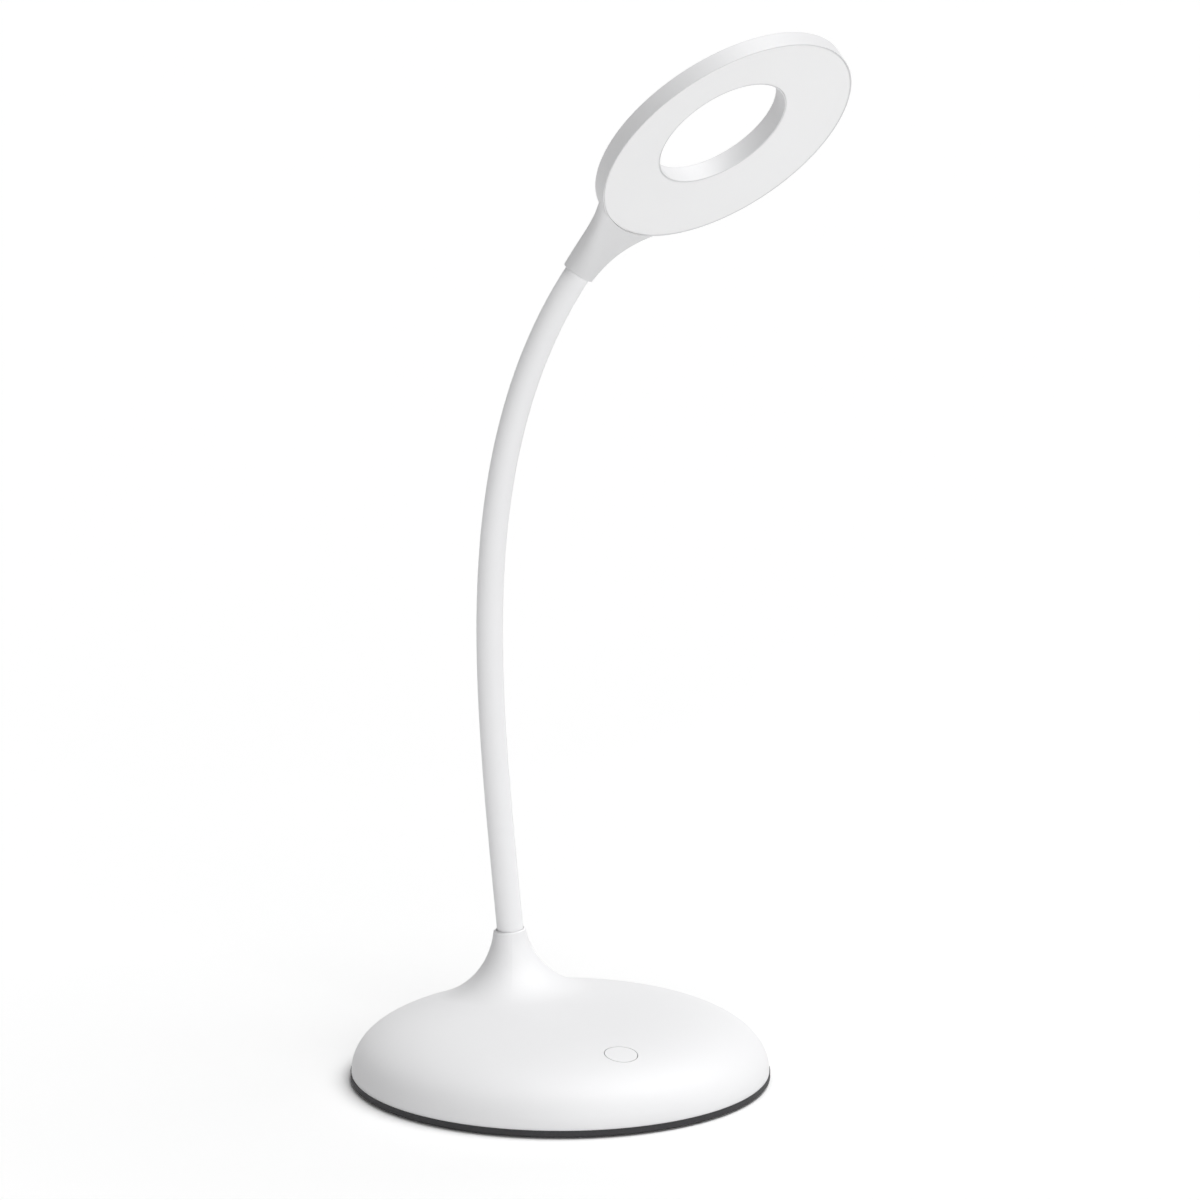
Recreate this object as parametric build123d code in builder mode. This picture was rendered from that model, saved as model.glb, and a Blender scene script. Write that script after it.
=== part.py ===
"""Cordless ring-head desk lamp on a bendable neck, in millimetres.

The origin is the centre of the foot pad's underside. +Z is up, -Y is the front, where the
button is, and +Y is the rear, where the charging socket is.
"""
import os
from math import asin, atan, copysign, cos, degrees, pi, radians, sin, sqrt

from build123d import *

# Base cover: a flattened dome with a flared neck behind its middle
base_radius = 70.0
crown_top = 23.8
strip_top = 2.9
crown_power = 3.73
side_power = 2.17
crown_steps = 8
shell_wall = 2.2
neck_share = 0.56
neck_offset = neck_share * base_radius
collar_height = 42.2
collar_radius = 5.2
flare_radius = 24.0
collar_edge = 0.25

# Bottom plate, foot pad and ballast
strip_overhang = 0.3
strip_edge = 0.5
pad_margin = 8.0
pad_radius = base_radius - pad_margin
pad_thickness = 1.0
pad_recess = 0.4
spigot_height = 2.4
spigot_width = 2.0
spigot_clearance = 0.5
ballast_margin = 23.0
ballast_radius = base_radius - ballast_margin
ballast_thickness = 3.0

# Fasteners: thread-forming screws in moulded bosses
screw_radius = 1.25
screw_head_radius = 2.6
screw_head_height = 1.0
screw_clearance = 0.3
screw_bite = 0.02
screw_length = 8.0
screw_tip = 0.6
boss_radius = 3.5
cover_boss_margin = 15.0
cover_boss_circle = base_radius - cover_boss_margin
cover_boss_count = 4
ballast_post_inset = 9.0
ballast_post_circle = ballast_radius - ballast_post_inset
ballast_post_count = 3
ballast_post_start = 90.0

# Battery and leads
battery_length = 46.0
battery_width = 34.0
battery_thickness = 7.0
battery_corner = 2.5
battery_shift = -7.0
battery_behind_button = 42.11
battery_pad_thickness = 0.6
battery_pad_inset = 4.0
lead_radius = 1.3
thin_lead_radius = 0.9
lead_bend = 8.0
lead_first_bend = 4.2
lamp_lead_bends = [(20.0, 26.0), (22.5, 0.0), (20.0, -24.0)]
lamp_lead_end = (6.0, 8.0)
battery_lead_run = 6.0
battery_lead_end = 8.0
charge_lead_start = (2.5, 2.0)
charge_lead_bends = [(14.0, 43.0), (29.0, 26.0), (31.0, -4.0), (25.0, -26.0)]
charge_lead_end = (16.5, 4.0)

# Button and control board, stacked along the shell's own normal at the button
button_share = 0.673
button_offset = button_share * base_radius
battery_centre = (battery_shift, battery_behind_button - button_offset)
button_radius = 5.45
button_gap = 0.3
button_body = 4.2
button_flange_width = 1.3
button_flange_thickness = 1.0
button_stem_radius = 1.2
button_stem_length = 1.2
guide_wall = 1.5
guide_depth = button_body - button_gap
switch_size = 6.0
switch_height = 3.5
switch_rise = 1.5
plunger_radius = 1.75
plunger_length = 3.0
plunger_clearance = 0.08
switch_floor = 0.8
board_length = 28.0
board_width = 36.0
board_thickness = 1.6
board_screw_x = 14.0
board_screw_y = 10.0

# Charging socket and its board at the rear
port_width = 9.0
port_height = 3.3
port_depth = 7.4
port_wall = 0.35
port_tongue = 0.7
port_slot_gap = 0.3
port_recess = 0.9
charge_board_height = 5.2
charge_board_length = 16.0
charge_board_width = 24.0
charge_screw_x = 8.5
charge_screw_inset = 3.5

# Bendable neck: the tube's axis leans back, then bends towards the head
neck_length = 232.3
neck_bearing = -14.5
neck_lean = 5.37
neck_bend = 39.1
neck_bend_power = 2.51
sleeve_radius = 4.45
sleeve_wall = 0.9
core_radius = 3.5
core_bore = 1.6
neck_fit = 0.05
neck_joints = 8
neck_end_run = 16.0
ball_margin = 2.0
ball_gap = 0.3
ball_lower_share = 1.2
ball_upper_share = 0.5

# Neck fittings
seat_depth = 23.2
seat_radius = 9.5
ferrule_radius = 4.0
ferrule_fit = 0.03
ferrule_flange = 1.4
ferrule_tail = 4.7
core_insert = 9.0
sleeve_insert = 3.0
sleeve_clearance = 0.25
washer_radius = 7.5
washer_thickness = 1.0
nut_across_flats = 13.0
nut_height = 3.5

# Ring head: a shallow dish whose hole edge lies behind its outer edge
head_radius = 47.3
head_hole_radius = 23.8
head_reach = 69.3
head_twist = 49.4
stem_bend = 17.3
dish_depth = 3.4
rim_depth = 5.8
hole_depth = 6.6
head_wall = 1.4
head_lip = 0.45
rim_rounding = 0.4
hole_rounding = 0.4
diffuser_thickness = 1.6
diffuser_gap = 0.1
seat_gap = 0.02
led_board_thickness = 0.4
led_board_inset = 0.6
led_count = 24
led_width = 3.5
led_height = 0.7
led_depth = 2.8
led_gap = 0.02

# Stem: round at the socket, flat and flared where it runs into the ring
socket_radius = 5.5
socket_edge = 0.6
stem_flare = 40.0
stem_sink = 0.4
stem_relief = 0.15
stem_thin_power = 1.5
stem_fullness = 3.4
stem_sections = 6
stem_points = 16
wire_clearance = 0.4
wire_reach = 1.2
wire_drop = 0.3

os.makedirs("parts", exist_ok=True)


def finish(part, name):
    """Label a finished piece and write it."""
    part.label = name
    export_step(part, f"parts/{name}.step")


# Base outline


def crown_height(distance, inset=0.0):
    """Height of the dome, or of its inner face, at a distance from the base axis."""
    rise = crown_top - strip_top - inset
    share = 1 - (distance / (base_radius - inset)) ** crown_power
    return strip_top + rise * share ** (1 / side_power)


def crown_tilt(distance):
    """Angle of the dome's normal from the vertical, in degrees."""
    step = 0.01
    drop = crown_height(distance - step) - crown_height(distance + step)
    return degrees(atan(drop / (2 * step)))


def crown_outline(inset=0.0):
    """Points of the dome's outline from its crown to its foot."""
    rise = crown_top - strip_top - inset
    points = []
    for step in range(crown_steps + 1):
        turn = radians(90 * step / crown_steps)
        distance = (base_radius - inset) * sin(turn) ** (2 / crown_power)
        points.append((distance, strip_top + rise * cos(turn) ** (2 / side_power)))
    return points


def crown_solid(inset=0.0, depth=0.0):
    """The dome as a solid, with an optional straight run below its foot."""
    outline = crown_outline(inset)
    with BuildPart() as crown:
        with BuildSketch(Plane.XZ):
            with BuildLine():
                Spline(*outline, tangents=[(1, 0), (0, -1)])
                foot = (outline[-1][0], strip_top - depth)
                Polyline(outline[-1], foot, (0, strip_top - depth), outline[0])
            make_face()
        revolve(axis=Axis.Z)
    return crown.part


# Neck line: a chain of tangent arcs, one for each length of the neck

up = Vector(0, 0, 1)
bend_direction = Vector(cos(radians(neck_bearing)), sin(radians(neck_bearing)), 0)
bend_normal = bend_direction.cross(up)
collar_centre = Vector(0, neck_offset, collar_height)
bend_plane = Plane(origin=collar_centre, x_dir=bend_direction, z_dir=bend_normal)
pivot_spacing = (neck_length - 2 * neck_end_run) / (neck_joints - 1)
pivots = [neck_end_run + pivot_spacing * index for index in range(neck_joints)]
knots = [0.0] + pivots + [neck_length]
ball_radius = sleeve_radius + ball_margin


def neck_angle(run):
    """Angle of the neck from the vertical, towards the head, in degrees."""
    return -neck_lean + neck_bend * (min(max(run, 0.0), neck_length) / neck_length) ** neck_bend_power


def arc_step(place, angle, run, turn):
    """Follow one arc of the neck line: its end point and end angle in the bend plane."""
    middle = radians(angle + turn / 2)
    chord = run
    if turn:
        half = radians(turn / 2)
        chord = run * sin(half) / half
    return (place[0] + chord * sin(middle), place[1] + chord * cos(middle)), angle + turn


def neck_place(run):
    """Point and angle of the neck line at a run from the collar, in the bend plane."""
    place = (0.0, 0.0)
    angle = neck_angle(0.0)
    if run <= 0:
        return arc_step(place, angle, run, 0.0)
    for start, end in zip(knots, knots[1:]):
        turn = neck_angle(end) - neck_angle(start)
        if run <= end:
            return arc_step(place, angle, run - start, turn * (run - start) / (end - start))
        place, angle = arc_step(place, angle, end - start, turn)
    return arc_step(place, angle, run - neck_length, 0.0)


def neck_point(run):
    """Point of the neck line in space."""
    place, _ = neck_place(run)
    return bend_plane.from_local_coords(Vector(*place))


def neck_direction(run):
    """Direction of the neck line in space, from the base to the head."""
    _, angle = neck_place(run)
    return bend_direction * sin(radians(angle)) + up * cos(radians(angle))


def neck_path(start, end):
    """Lines and arcs of the neck line between two runs, drawn in the open line builder."""
    stops = [start] + [knot for knot in knots if start < knot < end] + [end]
    for first, last in zip(stops, stops[1:]):
        place, angle = neck_place(first)
        finish_place, finish_angle = neck_place(last)
        turn = finish_angle - angle
        if abs(turn) < 0.01:
            Line(place, finish_place)
        else:
            middle = (first + last) / 2
            halfway, _ = neck_place(middle)
            ThreePointArc(place, halfway, finish_place)


def ball_cutter(run):
    """What lies below a pivot's ball: taken from a neck length to leave its rounded lower end."""
    pivot = neck_point(run)
    with BuildPart() as cutter:
        with BuildSketch(Plane(origin=pivot, z_dir=-neck_direction(run))):
            Circle(2 * ball_radius)
        extrude(amount=2 * ball_radius)
        with Locations(pivot):
            Sphere(ball_radius, mode=Mode.SUBTRACT)
    return cutter.part


def neck_piece(index, radius, bore, lower_end, upper_end):
    """One length of a tube along the neck, rounded about the pivots that it meets."""
    first = index == 0
    last = index == neck_joints
    start = lower_end if first else pivots[index - 1] - ball_lower_share * ball_radius
    end = upper_end if last else pivots[index] - ball_upper_share * ball_radius
    with BuildPart() as piece:
        with BuildLine(bend_plane) as line:
            neck_path(start, end)
        with BuildSketch(Plane(origin=neck_point(start), x_dir=bend_normal, z_dir=neck_direction(start))):
            Circle(radius)
            if bore:
                Circle(bore, mode=Mode.SUBTRACT)
        sweep(path=line.wires()[0])
        if not first:
            add(ball_cutter(pivots[index - 1]), mode=Mode.SUBTRACT)
        if not last:
            with Locations(neck_point(pivots[index])):
                Sphere(ball_radius + ball_gap, mode=Mode.SUBTRACT)
    return piece.part


def lead_run(points, radius, bends):
    """A lead laid along straight runs and bends."""
    with BuildPart() as lead:
        with BuildLine() as line:
            FilletPolyline(*points, radius=bends)
        with BuildSketch(Plane(origin=points[0], z_dir=line.wires()[0] % 0)):
            Circle(radius)
        sweep(path=line.wires()[0])
    return lead.part


# Planes that several pieces share

neck_axis = neck_direction(0.0)
collar_plane = Plane(origin=collar_centre, x_dir=bend_normal, z_dir=neck_axis)
button_tilt = radians(crown_tilt(button_offset))
button_centre = Vector(0, -button_offset, crown_height(button_offset))
button_plane = Plane(
    origin=button_centre,
    x_dir=(1, 0, 0),
    z_dir=(0, -sin(button_tilt), cos(button_tilt)),
)
stem_depth = button_body + button_flange_thickness + button_stem_length
switch_top = stem_depth + switch_rise
board_top = switch_top + switch_height
board_bottom = board_top + board_thickness
plate_bottom = pad_thickness - pad_recess
ballast_top = strip_top + ballast_thickness

# Head frame: the stem leaves the neck's end and bends into the plane of the ring

socket_centre = neck_point(neck_length)
socket_axis = neck_direction(neck_length)
inner_side = socket_axis.cross(bend_normal)
if inner_side.Z > 0:
    inner_side = -inner_side
bend_side = inner_side * cos(radians(head_twist)) + bend_normal * sin(radians(head_twist))
stem_turn = radians(stem_bend)
stem_axis = socket_axis * cos(stem_turn) + bend_side * sin(stem_turn)
face_normal = bend_side * cos(stem_turn) - socket_axis * sin(stem_turn)
head_centre = socket_centre + stem_axis * head_reach
ring_section = Plane(origin=head_centre, x_dir=stem_axis, z_dir=stem_axis.cross(face_normal))
head_axis = Axis(head_centre, face_normal)


def dish_height(distance):
    """Height of the head's front face at a distance from the head's axis."""
    return -dish_depth * (head_radius - distance) / (head_radius - head_hole_radius)


def back_height(distance):
    """Height of the head's rear face at a distance from the head's axis."""
    drop = dish_depth + hole_depth - rim_depth
    return -rim_depth - drop * (head_radius - distance) / (head_radius - head_hole_radius)


def head_point(along, height):
    """Point of the head's middle section in space."""
    return ring_section.from_local_coords(Vector(along, height))


# Base cover


with BuildPart() as shell_cavity:
    add(crown_solid(inset=shell_wall, depth=strip_top))
    with BuildSketch(Plane.XY.offset(strip_top)):
        with PolarLocations(cover_boss_circle, cover_boss_count, start_angle=180 / cover_boss_count):
            Circle(boss_radius)
    extrude(amount=crown_top, mode=Mode.SUBTRACT)
    with BuildSketch(collar_plane.offset(-seat_depth)):
        Circle(seat_radius)
    extrude(amount=seat_depth, mode=Mode.SUBTRACT)
    with BuildSketch(button_plane.offset(-guide_depth)):
        Circle(button_radius + button_gap + guide_wall)
    extrude(amount=2 * guide_depth, mode=Mode.SUBTRACT)
    with BuildSketch(button_plane.offset(-board_top)):
        with GridLocations(2 * board_screw_x, 2 * board_screw_y, 2, 2):
            Circle(boss_radius)
    extrude(amount=2 * board_top, mode=Mode.SUBTRACT)

port_floor = charge_board_height + board_thickness
port_middle = port_floor + port_height / 2
port_wall_share = (port_middle - strip_top) / (crown_top - strip_top)
port_face = base_radius * (1 - port_wall_share ** side_power) ** (1 / crown_power) - port_recess
port_plane = Plane(origin=(0, port_face, port_middle), x_dir=(1, 0, 0), z_dir=(0, -1, 0))

with BuildPart() as base_cover:
    add(crown_solid())
    with BuildSketch(collar_plane.offset(-seat_depth)):
        Circle(collar_radius)
    extrude(amount=seat_depth + flare_radius)
    flare_foot = collar_centre - neck_axis * (collar_height - crown_height(neck_offset))
    fillet(base_cover.edges().sort_by_distance(flare_foot)[0], radius=flare_radius)
    with BuildSketch(collar_plane):
        Circle(2 * collar_radius)
    extrude(amount=2 * flare_radius, mode=Mode.SUBTRACT)
    collar_face = min(
        base_cover.faces(),
        key=lambda face: (face.center(CenterOf.MASS) - collar_centre).length,
    )
    chamfer(collar_face.edges(), length=collar_edge)
    add(shell_cavity.part, mode=Mode.SUBTRACT)
    with BuildSketch(collar_plane.offset(-sleeve_insert - ferrule_flange)):
        Circle(sleeve_radius + sleeve_clearance)
    extrude(amount=sleeve_insert + ferrule_flange, mode=Mode.SUBTRACT)
    with BuildSketch(collar_plane.offset(-seat_depth)):
        Circle(ferrule_radius + ferrule_fit)
    extrude(amount=seat_depth, mode=Mode.SUBTRACT)
    with BuildSketch(button_plane.offset(-guide_depth)):
        Circle(button_radius + button_gap)
    extrude(amount=2 * guide_depth, mode=Mode.SUBTRACT)
    with BuildSketch(button_plane.offset(-board_top)):
        with GridLocations(2 * board_screw_x, 2 * board_screw_y, 2, 2):
            Circle(screw_radius + screw_bite)
    extrude(amount=screw_length - board_thickness + screw_tip, mode=Mode.SUBTRACT)
    with BuildSketch(Plane.XY.offset(strip_top)):
        with PolarLocations(cover_boss_circle, cover_boss_count, start_angle=180 / cover_boss_count):
            Circle(screw_radius + screw_bite)
    extrude(amount=screw_length + screw_tip, mode=Mode.SUBTRACT)
    with BuildSketch(port_plane):
        SlotOverall(port_width + 2 * port_slot_gap, port_height + 2 * port_slot_gap)
    extrude(amount=-2 * port_recess, mode=Mode.SUBTRACT)
    with BuildSketch(port_plane):
        SlotOverall(port_width + 2 * port_slot_gap, port_height + 2 * port_slot_gap)
    extrude(amount=port_depth, mode=Mode.SUBTRACT)
finish(base_cover.part, "base_cover")


# Bottom plate with its strip, locating ring, ballast posts and board posts

charge_board_end = port_face - spigot_width
charge_board_middle = charge_board_end - charge_board_length / 2
charge_screw_y = charge_board_end - charge_board_length + charge_screw_inset
spigot_radius = base_radius - shell_wall - spigot_clearance
cover_screw_head = pad_thickness + screw_head_height + screw_clearance

with BuildPart() as bottom_plate:
    with BuildSketch(Plane.XY.offset(plate_bottom)):
        Circle(base_radius + strip_overhang)
    extrude(amount=strip_top - plate_bottom)
    chamfer(bottom_plate.edges().group_by(Axis.Z)[0], length=strip_edge)
    with BuildSketch(Plane.XY.offset(strip_top)):
        Circle(spigot_radius)
        Circle(spigot_radius - spigot_width, mode=Mode.SUBTRACT)
        with Locations((0, port_face)):
            Rectangle(charge_board_width, 4 * port_depth, mode=Mode.SUBTRACT)
    extrude(amount=spigot_height)
    with BuildSketch(Plane.XY.offset(plate_bottom)):
        Circle(pad_radius + screw_clearance)
    extrude(amount=pad_recess, mode=Mode.SUBTRACT)
    with BuildSketch(Plane.XY.offset(strip_top)):
        with PolarLocations(ballast_post_circle, ballast_post_count, start_angle=ballast_post_start):
            Circle(boss_radius - screw_clearance)
    extrude(amount=ballast_thickness)
    with BuildSketch(Plane.XY.offset(strip_top)):
        with Locations((-charge_screw_x, charge_screw_y), (charge_screw_x, charge_screw_y)):
            Circle(boss_radius)
    extrude(amount=charge_board_height - strip_top)
    with BuildSketch(Plane.XY.offset(pad_thickness)):
        with PolarLocations(ballast_post_circle, ballast_post_count, start_angle=ballast_post_start):
            Circle(screw_radius + screw_bite)
        with Locations((-charge_screw_x, charge_screw_y), (charge_screw_x, charge_screw_y)):
            Circle(screw_radius + screw_bite)
    extrude(amount=crown_top, mode=Mode.SUBTRACT)
    with BuildSketch(Plane.XY.offset(plate_bottom)):
        with PolarLocations(cover_boss_circle, cover_boss_count, start_angle=180 / cover_boss_count):
            Circle(screw_head_radius + screw_clearance)
    extrude(amount=cover_screw_head - plate_bottom, mode=Mode.SUBTRACT)
    with BuildSketch(Plane.XY.offset(plate_bottom)):
        with PolarLocations(cover_boss_circle, cover_boss_count, start_angle=180 / cover_boss_count):
            Circle(screw_radius + screw_clearance)
    extrude(amount=strip_top - plate_bottom, mode=Mode.SUBTRACT)
finish(bottom_plate.part, "bottom_plate")

with BuildPart() as foot_pad:
    with BuildSketch():
        Circle(pad_radius)
    extrude(amount=pad_thickness)
finish(foot_pad.part, "foot_pad")

with BuildPart() as ballast_plate:
    with BuildSketch(Plane.XY.offset(strip_top)):
        Circle(ballast_radius)
        with PolarLocations(ballast_post_circle, ballast_post_count, start_angle=ballast_post_start):
            Circle(boss_radius, mode=Mode.SUBTRACT)
    extrude(amount=ballast_thickness)
finish(ballast_plate.part, "ballast_plate")


# Battery

with BuildPart() as battery_pad:
    with BuildSketch(Plane.XY.offset(ballast_top)):
        with Locations(battery_centre):
            Rectangle(battery_length - battery_pad_inset, battery_width - battery_pad_inset)
    extrude(amount=battery_pad_thickness)
finish(battery_pad.part, "battery_pad")

battery_bottom = ballast_top + battery_pad_thickness
with BuildPart() as battery_cell:
    with BuildSketch(Plane.XY.offset(battery_bottom)):
        with Locations(battery_centre):
            RectangleRounded(battery_length, battery_width, battery_corner)
    extrude(amount=battery_thickness)
    fillet(battery_cell.edges().filter_by(Plane.XY), radius=battery_corner / 2)
finish(battery_cell.part, "battery_cell")


# Button, switch and control board

with BuildPart() as button_cap:
    with BuildSketch(button_plane.offset(-button_body)):
        Circle(button_radius)
    extrude(amount=2 * button_body)
    add(crown_solid(), mode=Mode.INTERSECT)
    with BuildSketch(button_plane.offset(-button_body - button_flange_thickness)):
        Circle(button_radius + button_flange_width)
    extrude(amount=button_flange_thickness)
    with BuildSketch(button_plane.offset(-stem_depth)):
        Circle(button_stem_radius)
    extrude(amount=button_stem_length)
finish(button_cap.part, "button_cap")

with BuildPart() as switch_plunger:
    with BuildSketch(button_plane.offset(-stem_depth - plunger_length)):
        Circle(plunger_radius)
    extrude(amount=plunger_length)
finish(switch_plunger.part, "switch_plunger")

with BuildPart() as switch_body:
    with BuildSketch(button_plane.offset(-board_top)):
        RectangleRounded(switch_size, switch_size, switch_size / 8)
    extrude(amount=switch_height)
    with BuildSketch(button_plane.offset(-board_top + switch_floor)):
        Circle(plunger_radius + plunger_clearance)
    extrude(amount=switch_height, mode=Mode.SUBTRACT)
finish(switch_body.part, "switch_body")

with BuildPart() as control_board:
    with BuildSketch(button_plane.offset(-board_bottom)):
        RectangleRounded(board_width, board_length, boss_radius)
        with GridLocations(2 * board_screw_x, 2 * board_screw_y, 2, 2):
            Circle(screw_radius + screw_clearance, mode=Mode.SUBTRACT)
    extrude(amount=board_thickness)
finish(control_board.part, "control_board")


# Charging board and socket

with BuildPart() as charge_board:
    with BuildSketch(Plane.XY.offset(charge_board_height)):
        with Locations((0, charge_board_middle)):
            Rectangle(charge_board_width, charge_board_length)
        with Locations((-charge_screw_x, charge_screw_y), (charge_screw_x, charge_screw_y)):
            Circle(screw_radius + screw_clearance, mode=Mode.SUBTRACT)
    extrude(amount=board_thickness)
finish(charge_board.part, "charge_board")

with BuildPart() as charge_socket:
    with BuildSketch(port_plane):
        SlotOverall(port_width, port_height)
    extrude(amount=port_depth)
    with BuildSketch(port_plane):
        SlotOverall(port_width - 2 * port_wall, port_height - 2 * port_wall)
    extrude(amount=port_depth - 2 * port_wall, mode=Mode.SUBTRACT)
    with BuildSketch(port_plane.offset(2 * port_wall)):
        Rectangle(port_width - 3 * port_tongue, port_tongue)
    extrude(amount=port_depth - 3 * port_wall)
finish(charge_socket.part, "charge_socket")


# Screws: each group is one node of separate screws


def screw(seat, length):
    """A pan-head screw whose head rests on the seat plane and points along the plane's normal."""
    with BuildPart() as body:
        with BuildSketch(seat):
            Circle(screw_head_radius)
        extrude(amount=-screw_head_height)
        fillet(body.edges().sort_by(Axis(seat.origin, seat.z_dir))[0], radius=screw_head_height / 3)
        with BuildSketch(seat):
            Circle(screw_radius)
        extrude(amount=length)
    return body.part


def screw_group(seats, length, name):
    """A group of equal screws in one node."""
    with BuildPart() as group:
        for seat in seats:
            add(screw(seat, length))
    finish(group.part, name)


cover_seats = []
for place in PolarLocations(cover_boss_circle, cover_boss_count, start_angle=180 / cover_boss_count):
    cover_seats.append(Plane(origin=place.position + up * cover_screw_head))
screw_group(cover_seats, screw_length, "cover_screws")

ballast_seats = []
for place in PolarLocations(ballast_post_circle, ballast_post_count, start_angle=ballast_post_start):
    ballast_seats.append(Plane(origin=place.position + up * ballast_top, z_dir=-up))
screw_group(ballast_seats, ballast_top - pad_thickness - screw_tip, "ballast_screws")

board_seats = []
for place in GridLocations(2 * board_screw_x, 2 * board_screw_y, 2, 2):
    seat = button_plane.from_local_coords(place.position - up * board_bottom)
    board_seats.append(Plane(origin=seat, z_dir=button_plane.z_dir))
screw_group(board_seats, screw_length, "board_screws")

charge_seats = []
for side in (-charge_screw_x, charge_screw_x):
    seat = Vector(side, charge_screw_y, charge_board_height + board_thickness)
    charge_seats.append(Plane(origin=seat, z_dir=-up))
charge_screw_length = charge_board_height + board_thickness - pad_thickness - screw_tip
screw_group(charge_seats, charge_screw_length, "charge_board_screws")


# Neck fittings in the base

ferrule_top = -sleeve_insert
ferrule_bottom = -seat_depth - washer_thickness - nut_height - ferrule_tail / 2

with BuildPart() as neck_ferrule:
    with BuildSketch(collar_plane.offset(ferrule_bottom)):
        Circle(ferrule_radius)
    extrude(amount=ferrule_top - ferrule_bottom)
    with BuildSketch(collar_plane.offset(ferrule_top - ferrule_flange)):
        Circle(sleeve_radius)
    extrude(amount=ferrule_flange)
    with BuildSketch(collar_plane.offset(ferrule_bottom)):
        Circle(core_bore)
    extrude(amount=ferrule_top - ferrule_bottom, mode=Mode.SUBTRACT)
    with BuildSketch(collar_plane.offset(ferrule_top - core_insert)):
        Circle(core_radius + neck_fit)
    extrude(amount=core_insert, mode=Mode.SUBTRACT)
finish(neck_ferrule.part, "neck_ferrule")

with BuildPart() as neck_washer:
    with BuildSketch(collar_plane.offset(-seat_depth - washer_thickness)):
        Circle(washer_radius)
        Circle(ferrule_radius + ferrule_fit, mode=Mode.SUBTRACT)
    extrude(amount=washer_thickness)
finish(neck_washer.part, "neck_washer")

with BuildPart() as neck_nut:
    with BuildSketch(collar_plane.offset(-seat_depth - washer_thickness - nut_height)):
        RegularPolygon(nut_across_flats / 2, 6, major_radius=False)
        Circle(ferrule_radius + ferrule_fit, mode=Mode.SUBTRACT)
    extrude(amount=nut_height)
finish(neck_nut.part, "neck_nut")


# Neck lengths: sleeve, core and lead, cut alike about each pivot

sleeve_end = neck_length + sleeve_insert
core_start = ferrule_top - core_insert
core_end = sleeve_end + core_insert - ferrule_flange
lead_drop = collar_centre + neck_axis * (ferrule_bottom - ferrule_tail)
lead_route = [
    collar_centre + neck_axis * (core_start - lead_radius),
    lead_drop,
]
for bend in lamp_lead_bends:
    lead_route.append(Vector(*bend, ballast_top + 2 * lead_radius))
lead_route.append(button_plane.from_local_coords(Vector(*lamp_lead_end, -board_bottom - 1.3 * lead_radius)))

for index in range(neck_joints + 1):
    sleeve = neck_piece(index, sleeve_radius, sleeve_radius - sleeve_wall, -sleeve_insert, sleeve_end)
    finish(sleeve, f"neck_sleeve_{index + 1}")
    core = neck_piece(index, core_radius, core_bore, core_start, core_end)
    finish(core, f"neck_core_{index + 1}")

wire_turn = neck_point(core_end)
wire_end = head_point(-head_radius + head_wall + wire_reach, -rim_depth / 2 - wire_drop)
wire_length = (wire_end - wire_turn).length
wire_plane = Plane(origin=wire_turn, z_dir=wire_end - wire_turn)

for index in range(neck_joints + 1):
    with BuildPart() as neck_lead:
        add(neck_piece(index, lead_radius, 0, core_start - lead_radius, core_end))
        if index == 0:
            add(lead_run(lead_route, lead_radius, lead_first_bend))
        if index == neck_joints:
            with BuildSketch(wire_plane):
                Circle(thin_lead_radius)
            extrude(amount=wire_length)
            with Locations(wire_turn):
                Sphere(lead_radius)
    finish(neck_lead.part, f"neck_lead_{index + 1}")


# Leads inside the base

battery_front = battery_centre[1] - battery_width / 2
battery_middle = battery_bottom + battery_thickness / 2
lead_under = -board_bottom - 1.5 * thin_lead_radius
battery_route = [
    Vector(battery_centre[0], battery_front, battery_middle),
    Vector(battery_centre[0], battery_front - battery_lead_run, battery_middle),
    button_plane.from_local_coords(Vector(battery_centre[0], battery_lead_end, lead_under)),
]
finish(lead_run(battery_route, thin_lead_radius, lead_bend), "battery_lead")

charge_lead_height = port_floor + thin_lead_radius + seat_gap
charge_lead_foot = charge_board_end - charge_board_length + charge_lead_start[1]
charge_route = [Vector(charge_lead_start[0], charge_lead_foot, charge_lead_height)]
for bend in charge_lead_bends:
    charge_route.append(Vector(*bend, charge_lead_height))
charge_route.append(button_plane.from_local_coords(Vector(*charge_lead_end, lead_under)))
finish(lead_run(charge_route, thin_lead_radius, lead_bend), "charge_lead")


# Head shell: ring housing and stem in one moulding

stem_drop = rim_depth / 2
stem_arc = stem_drop / (1 - cos(stem_turn))
flare_foot_radius = head_radius - stem_sink
flare_start = -sqrt((flare_foot_radius + stem_flare) ** 2 - (socket_radius + stem_flare) ** 2)
flare_end = flare_foot_radius * flare_start / (flare_foot_radius + stem_flare)
stem_length = head_reach + flare_end


def stem_plane(share):
    """Section plane of the stem, from its socket end at 0 to the ring at 1."""
    along = stem_length * share
    lean = stem_turn - asin(min(along / stem_arc, sin(stem_turn)))
    origin = head_point(along - head_reach, -stem_arc * (cos(lean) - cos(stem_turn)))
    direction = stem_axis * cos(lean) - face_normal * sin(lean)
    return Plane(origin=origin, x_dir=face_normal.cross(stem_axis), z_dir=direction)


def flare_width(share):
    """Half the width of the arc that runs into the ring on each side of the stem."""
    run = max(stem_length * share - head_reach - flare_start, 0.0)
    return socket_radius + stem_flare - sqrt(stem_flare**2 - run**2)


def stem_half_width(share):
    """Half the stem's width: the socket's radius at its end, then the flare."""
    return flare_width(share) - (flare_width(0) - socket_radius) * (1 - share) ** 2


def stem_half_thickness(share):
    """Half the stem's thickness, from the round socket to just under the rim."""
    thin = rim_depth / 2 - stem_relief
    return socket_radius - (socket_radius - thin) * share**stem_thin_power


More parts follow.
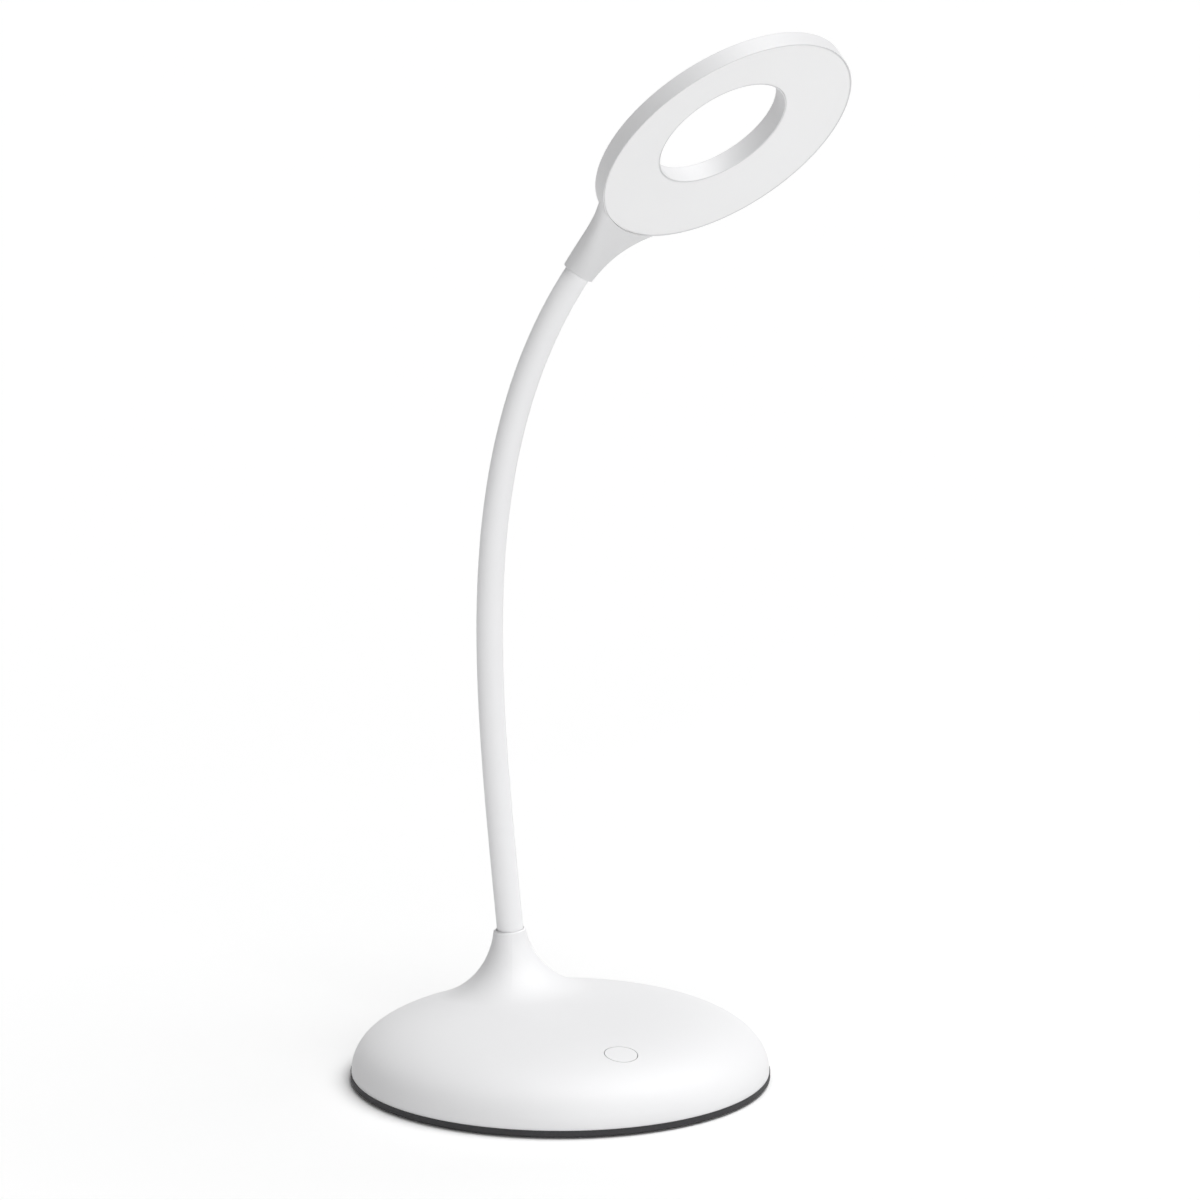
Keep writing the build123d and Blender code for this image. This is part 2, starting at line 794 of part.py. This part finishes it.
def rounded(value, fullness):
    """A sine or cosine drawn out, so that the curve it makes is fuller than an ellipse."""
    return copysign(abs(value) ** (2 / fullness), value)


def stem_outline(share):
    """Points round the stem, from a circle at the socket to a soft oblong at the ring."""
    fullness = 2 + (stem_fullness - 2) * share
    turns = [2 * pi * step / stem_points for step in range(stem_points)]
    return [
        (
            stem_half_width(share) * rounded(cos(turn), fullness),
            stem_half_thickness(share) * rounded(sin(turn), fullness),
        )
        for turn in turns
    ]


with BuildPart() as head_shell:
    with BuildSketch(ring_section):
        with BuildLine():
            Polyline(
                (head_radius, 0),
                (head_radius, -rim_depth),
                (head_hole_radius, -dish_depth - hole_depth),
                (head_hole_radius, -dish_depth),
                close=True,
            )
        make_face()
    revolve(axis=head_axis)
    fillet(head_shell.edges().filter_by(GeomType.CIRCLE).sort_by(head_axis)[1], radius=rim_rounding)
    fillet(head_shell.edges().filter_by(GeomType.CIRCLE).sort_by(head_axis)[0], radius=hole_rounding)
    for step in range(stem_sections):
        share = step / (stem_sections - 1)
        with BuildSketch(stem_plane(share)):
            with BuildLine():
                Spline(*stem_outline(share), periodic=True)
            make_face()
    loft()
    socket_rim = min(head_shell.edges(), key=lambda edge: (edge.center(CenterOf.MASS) - socket_centre).length)
    fillet(socket_rim, radius=socket_edge)
    with BuildSketch(ring_section):
        with BuildLine():
            inner_seat = head_hole_radius + head_lip
            inner_wall = head_hole_radius + head_wall
            outer_seat = head_radius - head_lip
            outer_wall = head_radius - head_wall
            Polyline(
                (inner_seat, rim_depth),
                (inner_seat, dish_height(inner_seat) - diffuser_thickness),
                (inner_wall, dish_height(inner_wall) - diffuser_thickness),
                (inner_wall, back_height(inner_wall) + head_wall),
                (outer_wall, back_height(outer_wall) + head_wall),
                (outer_wall, dish_height(outer_wall) - diffuser_thickness),
                (outer_seat, dish_height(outer_seat) - diffuser_thickness),
                (outer_seat, rim_depth),
                close=True,
            )
        make_face()
    revolve(axis=head_axis, mode=Mode.SUBTRACT)
    with BuildSketch(Plane(origin=socket_centre, z_dir=socket_axis)):
        Circle(sleeve_radius + sleeve_clearance)
    extrude(amount=sleeve_insert, mode=Mode.SUBTRACT)
    with BuildSketch(Plane(origin=socket_centre, z_dir=socket_axis)):
        Circle(ferrule_radius + ferrule_fit)
    extrude(amount=core_end - neck_length, mode=Mode.SUBTRACT)
    with BuildSketch(wire_plane):
        Circle(thin_lead_radius + wire_clearance)
    extrude(amount=wire_length, mode=Mode.SUBTRACT)
    with Locations(wire_turn):
        Sphere(lead_radius + wire_clearance, mode=Mode.SUBTRACT)
finish(head_shell.part, "head_shell")

with BuildPart() as head_ferrule:
    with BuildSketch(Plane(origin=neck_point(sleeve_end), z_dir=socket_axis)):
        Circle(ferrule_radius)
        Circle(core_radius + neck_fit, mode=Mode.SUBTRACT)
    extrude(amount=core_end - sleeve_end)
finish(head_ferrule.part, "head_ferrule")


# Diffuser, LED board and LEDs

with BuildPart() as diffuser:
    with BuildSketch(ring_section):
        with BuildLine():
            inner_edge = head_hole_radius + head_lip + diffuser_gap
            outer_edge = head_radius - head_lip - diffuser_gap
            diffuser_back = diffuser_thickness - seat_gap
            Polyline(
                (inner_edge, dish_height(inner_edge)),
                (outer_edge, dish_height(outer_edge)),
                (outer_edge, dish_height(outer_edge) - diffuser_back),
                (inner_edge, dish_height(inner_edge) - diffuser_back),
                close=True,
            )
        make_face()
    revolve(axis=head_axis)
finish(diffuser.part, "diffuser")

led_inner = head_hole_radius + head_wall + led_board_inset
led_outer = head_radius - head_wall - led_board_inset
led_floor = head_wall + seat_gap
with BuildPart() as led_board:
    with BuildSketch(ring_section):
        with BuildLine():
            Polyline(
                (led_inner, back_height(led_inner) + led_floor),
                (led_outer, back_height(led_outer) + led_floor),
                (led_outer, back_height(led_outer) + led_floor + led_board_thickness),
                (led_inner, back_height(led_inner) + led_floor + led_board_thickness),
                close=True,
            )
        make_face()
    revolve(axis=head_axis)
finish(led_board.part, "led_board")

led_circle = (led_inner + led_outer) / 2
back_slope = atan((back_height(led_outer) - back_height(led_inner)) / (led_outer - led_inner))
led_seat = back_height(led_circle) + led_floor + led_board_thickness + led_gap
head_side = face_normal.cross(stem_axis)
with BuildPart() as leds:
    for index in range(led_count):
        turn = radians(360 * index / led_count)
        outward = stem_axis * cos(turn) + head_side * sin(turn)
        led_plane = Plane(
            origin=head_centre + outward * led_circle + face_normal * led_seat,
            x_dir=outward * cos(back_slope) + face_normal * sin(back_slope),
            z_dir=outward.cross(face_normal),
        )
        with BuildSketch(led_plane):
            Rectangle(led_depth, led_height, align=(Align.CENTER, Align.MIN))
        extrude(amount=led_width / 2, both=True)
finish(leds.part, "leds")
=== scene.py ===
"""Looks of a cordless ring-head table lamp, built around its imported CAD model, in metres."""
from math import cos, radians, sin

import bpy
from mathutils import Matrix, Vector


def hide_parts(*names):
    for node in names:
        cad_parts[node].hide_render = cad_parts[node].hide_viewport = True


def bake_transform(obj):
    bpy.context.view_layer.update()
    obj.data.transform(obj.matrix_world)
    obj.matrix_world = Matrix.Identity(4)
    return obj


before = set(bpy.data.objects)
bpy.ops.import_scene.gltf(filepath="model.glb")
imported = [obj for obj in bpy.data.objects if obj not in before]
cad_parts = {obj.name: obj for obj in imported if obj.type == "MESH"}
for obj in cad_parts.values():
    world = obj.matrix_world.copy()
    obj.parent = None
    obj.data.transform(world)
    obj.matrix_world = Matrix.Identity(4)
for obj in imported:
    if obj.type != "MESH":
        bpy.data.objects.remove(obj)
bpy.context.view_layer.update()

MM = 0.001

# Neck line: the same chain of tangent arcs that the solids follow
NECK_FOOT = Vector((0.0, 39.2, 42.2)) * MM
NECK_LENGTH = 232.3 * MM
NECK_BEARING = radians(-14.5)
NECK_LEAN = radians(5.37)
NECK_BEND = radians(39.1)
NECK_BEND_POWER = 2.51
NECK_JOINTS = 8
NECK_END_RUN = 16.0 * MM
SLEEVE_RADIUS = 4.45 * MM
SLEEVE_WALL = 0.9 * MM
SLEEVE_INSERT = 3.0 * MM
CORE_RADIUS = 3.5 * MM
CORE_WALL = 1.9 * MM
CORE_INSERT = 9.0 * MM
FERRULE_FLANGE = 1.4 * MM
TUBE_SIDES = 72
TUBE_STEP = 1.0 * MM
TUBE_CREASE = radians(40)
TUBE_MERGE = 0.001 * MM

# Camera: the photo's angle, from far enough away that the lines hardly converge
VIEW_RIGHT = Vector((0.9026, -0.4305, 0.0))
VIEW_UP = Vector((0.1165, 0.2442, 0.9627))
VIEW_BACK = Vector((-0.4145, -0.8689, 0.2706))
VIEW_AIM = VIEW_RIGHT * 13.27 * MM + VIEW_UP * 160.5 * MM
VIEW_DISTANCE = 10.0
VIEW_WIDTH = 0.402
VIEW_CLIP = (0.1, 100.0)
SENSOR_WIDTH = 36.0

# Light: one broad lamp overhead towards the right and one low in front, in a dim even surround.
# A lamp's place is its shares of the view's right, up and back directions.
TOP_PLACE = (0.35, 0.92, 0.15)
TOP_ENERGY = 2.3
FILL_PLACE = (0.25, 0.04, 0.95)
FILL_ENERGY = 1.13
LAMP_SPREAD = radians(50)
WORLD_LIGHT = 0.13
WORLD_SEEN = 1.0
FLOOR_HALF = 12.0
FLOOR_TONE = 0.9
FLOOR_SEEN = 1.09

# Noise of the finishes: how finely patches and grain break up, and the share of the grain's range in use
PATCH_DETAIL = 3.0
GRAIN_DETAIL = 2.0
GRAIN_LOW = 0.3
GRAIN_HIGH = 0.7

# Places of the Mix node's colour sockets, whose names its other kinds of socket share
MIX_SHARE = 0
MIX_FIRST = 6
MIX_SECOND = 7
MIX_RESULT = 2


# Node and colour helpers


def linear(hex_colour):
    """Turn an sRGB hex colour into linear red, green, blue and alpha."""
    channels = []
    for start in (1, 3, 5):
        share = int(hex_colour[start:start + 2], 16) / 255
        channels.append(share / 12.92 if share <= 0.04045 else ((share + 0.055) / 1.055) ** 2.4)
    return (*channels, 1.0)


def add_node(tree, kind, inputs=None, **settings):
    """Add a node with its settings; an input takes a value or a socket to link from."""
    node = tree.nodes.new(kind)
    for name, value in settings.items():
        setattr(node, name, value)
    for key, value in (inputs or {}).items():
        if isinstance(value, bpy.types.NodeSocket):
            tree.links.new(value, node.inputs[key])
        else:
            node.inputs[key].default_value = value
    return node


def per_metre(size_mm):
    """Noise scale whose features are about this size."""
    return 1 / (size_mm * MM)


def start_material(name):
    """A new material with an empty tree that ends in a Principled shader."""
    material = bpy.data.materials.new(name)
    material.use_nodes = True
    tree = material.node_tree
    tree.nodes.clear()
    shader = add_node(tree, "ShaderNodeBsdfPrincipled")
    add_node(tree, "ShaderNodeOutputMaterial", {"Surface": shader.outputs["BSDF"]})
    return material, tree, shader


# Materials


def moulded_finish(name, tones, roughness, patch_mm, grain_mm, depth_mm, ior=1.5, metallic=0.0, place=None):
    """A finish with two close tones in soft patches, uneven gloss and a fine raised grain.

    tones are two hex colours, roughness its lowest and highest value, patch_mm the size of the patches,
    grain_mm the size of the grain and depth_mm its height. place names an attribute to read in place of
    Object coordinates, on a piece that bends.
    """
    material, tree, shader = start_material(name)
    if place:
        spot = add_node(tree, "ShaderNodeAttribute", attribute_name=place).outputs["Vector"]
    else:
        spot = add_node(tree, "ShaderNodeTexCoord").outputs["Object"]
    patches = add_node(tree, "ShaderNodeTexNoise", {
        "Vector": spot,
        "Scale": per_metre(patch_mm),
        "Detail": PATCH_DETAIL,
    })
    tone = add_node(tree, "ShaderNodeMix", data_type="RGBA")
    tree.links.new(patches.outputs["Fac"], tone.inputs[MIX_SHARE])
    tone.inputs[MIX_FIRST].default_value = linear(tones[0])
    tone.inputs[MIX_SECOND].default_value = linear(tones[1])
    grain = add_node(tree, "ShaderNodeTexNoise", {
        "Vector": spot,
        "Scale": per_metre(grain_mm),
        "Detail": GRAIN_DETAIL,
    })
    gloss = add_node(tree, "ShaderNodeMapRange", {
        "Value": grain.outputs["Fac"],
        "From Min": GRAIN_LOW,
        "From Max": GRAIN_HIGH,
        "To Min": roughness[0],
        "To Max": roughness[1],
    })
    relief = add_node(tree, "ShaderNodeBump", {
        "Height": grain.outputs["Fac"],
        "Strength": 1.0,
        "Distance": depth_mm * MM,
    })
    tree.links.new(tone.outputs[MIX_RESULT], shader.inputs["Base Color"])
    tree.links.new(gloss.outputs["Result"], shader.inputs["Roughness"])
    tree.links.new(relief.outputs["Normal"], shader.inputs["Normal"])
    shader.inputs["IOR"].default_value = ior
    shader.inputs["Metallic"].default_value = metallic
    return material


# Moulded ABS: bright white with a soft satin gloss, and a very shallow grain
white_abs = moulded_finish(
    "white moulded ABS", ("#f4f4f5", "#f1f1f2"), (0.46, 0.56), 40, 1.2, 0.004, ior=1.53
)

# The same white plastic on the ring, drawn a shade greyer than the base: painted shade, standing in for the
# lesser light that falls on the head
ring_abs_painted_shade = moulded_finish(
    "white moulded ABS with painted shade", ("#e5e5e6", "#e2e2e3"), (0.46, 0.56), 40, 1.2, 0.004, ior=1.53
)

# Extruded silicone: white, a little softer and duller than the shell, with a fine dry skin
white_silicone = moulded_finish(
    "white extruded silicone", ("#fbfbfc", "#f9f9fa"), (0.5, 0.62), 25, 0.9, 0.006, ior=1.41,
    place="neck_place",
)

# Opal acrylic with a frosted face: even, milky and nearly pure white, with a soft wide gloss
opal_acrylic = moulded_finish(
    "frosted opal acrylic", ("#fbfbfb", "#f9f9fa"), (0.42, 0.5), 30, 0.8, 0.003, ior=1.49
)

# ABS with a fine spark-eroded grain: dark grey and matte, with small glints along its edge
grey_abs = moulded_finish(
    "dark grey grained ABS", ("#2a2a2c", "#323234"), (0.72, 0.86), 6, 0.7, 0.02, ior=1.53
)

# Closed-cell foam rubber: nearly black, matte, with the speckle of its cut cells
foam_rubber = moulded_finish("cut foam rubber", ("#232325", "#2f2f31"), (0.8, 0.95), 3, 0.9, 0.05, ior=1.5)

# Zinc-plated mild steel: pale grey with a spangled, slightly uneven shine
zinc_steel = moulded_finish(
    "zinc-plated steel", ("#a9abae", "#bcbec1"), (0.3, 0.42), 5, 0.8, 0.004, metallic=1.0
)

# Drawn stainless steel: bright with faint drawing marks
stainless_steel = moulded_finish(
    "drawn stainless steel", ("#b9b9ba", "#c6c6c8"), (0.2, 0.32), 2, 0.4, 0.002, metallic=1.0
)

# Spring steel wire: dark grey and oiled
spring_steel = moulded_finish(
    "oiled spring steel", ("#7d7e80", "#8c8d90"), (0.28, 0.4), 4, 0.6, 0.004, metallic=1.0,
    place="neck_place",
)

# Turned brass: warm yellow with light tool marks
turned_brass = moulded_finish(
    "turned brass", ("#c9a24f", "#d6b162"), (0.22, 0.34), 4, 0.5, 0.003, metallic=1.0
)

# Laminated pouch foil: dull silver, slightly wrinkled
pouch_foil = moulded_finish(
    "laminated pouch foil", ("#c4c6c9", "#d2d4d6"), (0.3, 0.5), 8, 2.0, 0.03, metallic=1.0
)

# Foam tape: off-white and soft
foam_tape = moulded_finish("adhesive foam tape", ("#dcdad2", "#e6e4dd"), (0.85, 0.95), 4, 0.8, 0.03)

# Green solder mask over glass laminate: glossy and slightly uneven
green_mask = moulded_finish(
    "green solder mask", ("#1c5a36", "#24683f"), (0.25, 0.38), 3, 0.8, 0.006, ior=1.55
)

# White solder mask: bright, to throw light forward
white_mask = moulded_finish(
    "white solder mask", ("#e9e9e4", "#f0f0ec"), (0.35, 0.45), 4, 0.8, 0.004, ior=1.55
)

# Glass-filled nylon: black with a dry grain
black_nylon = moulded_finish(
    "black glass-filled nylon", ("#1b1b1c", "#262628"), (0.45, 0.6), 2, 0.4, 0.01, ior=1.53
)

# Soft vinyl insulation: off-white with a slight sheen
vinyl_insulation = moulded_finish(
    "soft vinyl insulation", ("#dedcd6", "#e8e6e1"), (0.4, 0.52), 5, 0.6, 0.005, ior=1.53
)

# Phosphor gel in a white package: yellow while the lamp is off
phosphor_gel = moulded_finish("phosphor gel", ("#e3c24a", "#ecd063"), (0.3, 0.4), 1, 0.3, 0.002, ior=1.41)

node_finishes = {
    "base_cover": white_abs,
    "button_cap": white_abs,
    # The ring's finish is the white ABS drawn greyer, as painted shade
    "head_shell": ring_abs_painted_shade,
    "diffuser": opal_acrylic,
    "bottom_plate": grey_abs,
    "foot_pad": foam_rubber,
    "ballast_plate": zinc_steel,
    "cover_screws": zinc_steel,
    "ballast_screws": zinc_steel,
    "board_screws": zinc_steel,
    "charge_board_screws": zinc_steel,
    "neck_washer": zinc_steel,
    "charge_socket": stainless_steel,
    "neck_ferrule": turned_brass,
    "head_ferrule": turned_brass,
    "neck_nut": turned_brass,
    "battery_cell": pouch_foil,
    "battery_pad": foam_tape,
    "control_board": green_mask,
    "charge_board": green_mask,
    "led_board": white_mask,
    "leds": phosphor_gel,
    "switch_body": black_nylon,
    "switch_plunger": black_nylon,
    "battery_lead": vinyl_insulation,
    "charge_lead": vinyl_insulation,
}
for number in range(1, NECK_JOINTS + 2):
    node_finishes[f"neck_sleeve_{number}"] = white_silicone
    node_finishes[f"neck_core_{number}"] = spring_steel
    node_finishes[f"neck_lead_{number}"] = vinyl_insulation
for name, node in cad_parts.items():
    node.data.materials.clear()
    node.data.materials.append(node_finishes[name])


# Neck line

bend_direction = Vector((cos(NECK_BEARING), sin(NECK_BEARING), 0.0))
upright = Vector((0.0, 0.0, 1.0))
pivot_spacing = (NECK_LENGTH - 2 * NECK_END_RUN) / (NECK_JOINTS - 1)
pivots = [NECK_END_RUN + pivot_spacing * index for index in range(NECK_JOINTS)]
knots = [0.0, *pivots, NECK_LENGTH]


def neck_angle(run):
    """Angle of the neck from the upright, towards the head."""
    return -NECK_LEAN + NECK_BEND * (run / NECK_LENGTH) ** NECK_BEND_POWER


def arc_end(place, angle, run, turn):
    """End of one arc of the neck line, across and up in the plane of its bend."""
    chord = run if abs(turn) < 1e-9 else run * sin(turn / 2) / (turn / 2)
    middle = angle + turn / 2
    return place[0] + chord * sin(middle), place[1] + chord * cos(middle)


def neck_point(run):
    """Point of the neck line at a run from the collar; past either end the line goes straight on."""
    place = (0.0, 0.0)
    angle = neck_angle(0.0)
    left = run
    if run > 0:
        for start, end in zip(knots, knots[1:]):
            turn = neck_angle(end) - angle
            length = end - start
            if left <= length:
                place = arc_end(place, angle, left, turn * left / length)
                left = 0.0
                break
            place = arc_end(place, angle, length, turn)
            angle += turn
            left -= length
    place = arc_end(place, angle, left, 0.0)
    return NECK_FOOT + bend_direction * place[0] + upright * place[1]


# Neck sleeve and core: lengths from the middle of one neck length to the middle of the next


def tube_tree():
    """Geometry tree that turns a line into a tube wall with rims, and keeps each point's place at rest."""
    tree = bpy.data.node_groups.new("tube wall", "GeometryNodeTree")
    tree.interface.new_socket("Line", in_out="INPUT", socket_type="NodeSocketGeometry")
    tree.interface.new_socket("Radius", in_out="INPUT", socket_type="NodeSocketFloat")
    tree.interface.new_socket("Wall", in_out="INPUT", socket_type="NodeSocketFloat")
    tree.interface.new_socket("Sides", in_out="INPUT", socket_type="NodeSocketInt")
    tree.interface.new_socket("Finish", in_out="INPUT", socket_type="NodeSocketMaterial")
    tree.interface.new_socket("Tube", in_out="OUTPUT", socket_type="NodeSocketGeometry")
    given = add_node(tree, "NodeGroupInput")
    ring = add_node(tree, "GeometryNodeCurvePrimitiveCircle", {
        "Resolution": given.outputs["Sides"],
        "Radius": given.outputs["Radius"],
    })
    outer = add_node(tree, "GeometryNodeCurveToMesh", {
        "Curve": given.outputs["Line"],
        "Profile Curve": ring.outputs["Curve"],
    })
    inward = add_node(tree, "ShaderNodeMath", {0: given.outputs["Wall"], 1: -1.0}, operation="MULTIPLY")
    inner = add_node(tree, "GeometryNodeExtrudeMesh", {
        "Mesh": outer.outputs["Mesh"],
        "Offset Scale": inward.outputs[0],
        "Individual": False,
    }, mode="FACES")
    turned = add_node(tree, "GeometryNodeFlipFaces", {"Mesh": inner.outputs["Mesh"]})
    both = add_node(tree, "GeometryNodeJoinGeometry")
    tree.links.new(turned.outputs["Mesh"], both.inputs["Geometry"])
    tree.links.new(outer.outputs["Mesh"], both.inputs["Geometry"])
    closed = add_node(tree, "GeometryNodeMergeByDistance", {
        "Geometry": both.outputs["Geometry"],
        "Distance": TUBE_MERGE,
    })
    spot = add_node(tree, "GeometryNodeInputPosition")
    kept = add_node(tree, "GeometryNodeStoreNamedAttribute", {
        "Geometry": closed.outputs["Geometry"],
        "Name": "neck_place",
        "Value": spot.outputs["Position"],
    }, data_type="FLOAT_VECTOR", domain="POINT")
    real = add_node(tree, "GeometryNodeRealizeInstances", {"Geometry": kept.outputs["Geometry"]})
    finished = add_node(tree, "GeometryNodeSetMaterial", {
        "Geometry": real.outputs["Geometry"],
        "Material": given.outputs["Finish"],
    })
    add_node(tree, "NodeGroupOutput", {"Tube": finished.outputs["Geometry"]})
    return tree


def set_input(modifier, name, value):
    """Set a modifier's named input by the identifier of its socket."""
    for item in modifier.node_group.interface.items_tree:
        if item.name == name and item.in_out == "INPUT":
            modifier[item.identifier] = value


def plain_mesh(maker, name):
    """Turn an object with modifiers into a plain mesh object, and remove the object that made it."""
    bpy.context.view_layer.update()
    depsgraph = bpy.context.evaluated_depsgraph_get()
    mesh = bpy.data.meshes.new_from_object(maker.evaluated_get(depsgraph))
    mesh.name = name
    bpy.data.objects.remove(maker)
    piece = bpy.data.objects.new(name, mesh)
    bpy.context.scene.collection.objects.link(piece)
    return piece


def neck_tube(name, start, end, radius, wall, finish):
    """One length of a tube between two runs of the neck line."""
    count = max(2, round((end - start) / TUBE_STEP))
    line = bpy.data.curves.new(name, "CURVE")
    line.dimensions = "3D"
    spline = line.splines.new("POLY")
    spline.points.add(count)
    for index, point in enumerate(spline.points):
        point.co = (*neck_point(start + (end - start) * index / count), 1.0)
    maker = bpy.data.objects.new(f"{name}_line", line)
    bpy.context.scene.collection.objects.link(maker)
    modifier = maker.modifiers.new("tube wall", "NODES")
    modifier.node_group = tube_wall_tree
    set_input(modifier, "Radius", radius)
    set_input(modifier, "Wall", wall)
    set_input(modifier, "Sides", TUBE_SIDES)
    set_input(modifier, "Finish", finish)
    piece = plain_mesh(maker, name)
    piece.data.shade_smooth()
    piece.data.set_sharp_from_angle(angle=TUBE_CREASE)
    return piece


tube_wall_tree = tube_tree()
core_under = SLEEVE_INSERT + CORE_INSERT
core_over = SLEEVE_INSERT + CORE_INSERT - FERRULE_FLANGE
for index, pivot in enumerate(pivots):
    first = index == 0
    last = index == NECK_JOINTS - 1
    blend_start = pivot - pivot_spacing / 2
    blend_end = pivot + pivot_spacing / 2
    sleeve_start = -SLEEVE_INSERT if first else blend_start
    sleeve_end = NECK_LENGTH + SLEEVE_INSERT if last else blend_end
    sleeve = neck_tube(
        f"sleeve_{index + 1}", sleeve_start, sleeve_end, SLEEVE_RADIUS, SLEEVE_WALL, white_silicone
    )
    core_start = -core_under if first else blend_start
    core_end = NECK_LENGTH + core_over if last else blend_end
    core = neck_tube(f"core_{index + 1}", core_start, core_end, CORE_RADIUS, CORE_WALL, spring_steel)
    numbers = [index + 1, index + 2] if last else [index + 1]
    for tube, node, slot in ((sleeve, "neck_sleeve", "neck_silicone"), (core, "neck_core", "core_steel")):
        neck_point(blend_start)
        neck_point(blend_end)
        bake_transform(tube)
        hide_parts(*[f"{node}_{number}" for number in numbers])


# Floor, light and camera


def value_by_ray(tree, scattered, seen):
    """A value for scattered light, and another for what the eye and reflections see."""
    rays = add_node(tree, "ShaderNodeLightPath")
    direct = add_node(tree, "ShaderNodeMath", {
        0: rays.outputs["Is Camera Ray"],
        1: rays.outputs["Is Glossy Ray"],
    }, operation="MAXIMUM")
    shown = add_node(tree, "ShaderNodeMath", {
        0: direct.outputs[0],
        1: rays.outputs["Is Transmission Ray"],
    }, operation="MAXIMUM")
    value = add_node(tree, "ShaderNodeMapRange", {
        "Value": shown.outputs[0],
        "To Min": scattered,
        "To Max": seen,
    })
    return value.outputs["Result"]


def studio_floor():
    """A wide pale floor that shows white where no shadow falls on it."""
    mesh = bpy.data.meshes.new("floor")
    corners = [
        (-FLOOR_HALF, -FLOOR_HALF, 0),
        (FLOOR_HALF, -FLOOR_HALF, 0),
        (FLOOR_HALF, FLOOR_HALF, 0),
        (-FLOOR_HALF, FLOOR_HALF, 0),
    ]
    mesh.from_pydata(corners, [], [(0, 1, 2, 3)])
    floor = bpy.data.objects.new("floor", mesh)
    bpy.context.scene.collection.objects.link(floor)
    material = bpy.data.materials.new("white paper sweep")
    material.use_nodes = True
    tree = material.node_tree
    tree.nodes.clear()
    tone = value_by_ray(tree, FLOOR_TONE, FLOOR_SEEN)
    paper = add_node(tree, "ShaderNodeBsdfDiffuse", {"Color": tone})
    add_node(tree, "ShaderNodeOutputMaterial", {"Surface": paper.outputs["BSDF"]})
    mesh.materials.append(material)
    return floor


def studio_world():
    """Even soft light from all round, which shows white to the eye and in reflections."""
    world = bpy.data.worlds.new("studio")
    bpy.context.scene.world = world
    world.use_nodes = True
    tree = world.node_tree
    tree.nodes.clear()
    glow = value_by_ray(tree, WORLD_LIGHT, WORLD_SEEN)
    light = add_node(tree, "ShaderNodeBackground", {"Color": (1.0, 1.0, 1.0, 1.0), "Strength": glow})
    add_node(tree, "ShaderNodeOutputWorld", {"Surface": light.outputs["Background"]})


def studio_lamp(name, energy, place):
    """A broad soft lamp that stands far away at a place given in the view's directions."""
    towards = VIEW_RIGHT * place[0] + VIEW_UP * place[1] + VIEW_BACK * place[2]
    data = bpy.data.lights.new(name, "SUN")
    data.energy = energy
    data.angle = LAMP_SPREAD
    lamp = bpy.data.objects.new(name, data)
    bpy.context.scene.collection.objects.link(lamp)
    lamp.rotation_mode = "QUATERNION"
    lamp.rotation_quaternion = towards.to_track_quat("Z", "Y")


def photo_camera():
    """Camera at the photo's angle and framing."""
    data = bpy.data.cameras.new("camera")
    data.sensor_width = SENSOR_WIDTH
    data.lens = SENSOR_WIDTH * VIEW_DISTANCE / VIEW_WIDTH
    data.clip_start = VIEW_CLIP[0]
    data.clip_end = VIEW_CLIP[1]
    camera = bpy.data.objects.new("camera", data)
    bpy.context.scene.collection.objects.link(camera)
    camera.location = VIEW_AIM + VIEW_BACK * VIEW_DISTANCE
    camera.rotation_mode = "QUATERNION"
    camera.rotation_quaternion = VIEW_BACK.to_track_quat("Z", "Y")
    bpy.context.scene.camera = camera


studio_floor()
studio_world()
studio_lamp("top", TOP_ENERGY, TOP_PLACE)
studio_lamp("fill", FILL_ENERGY, FILL_PLACE)
photo_camera()
bpy.context.scene.view_settings.view_transform = "Standard"
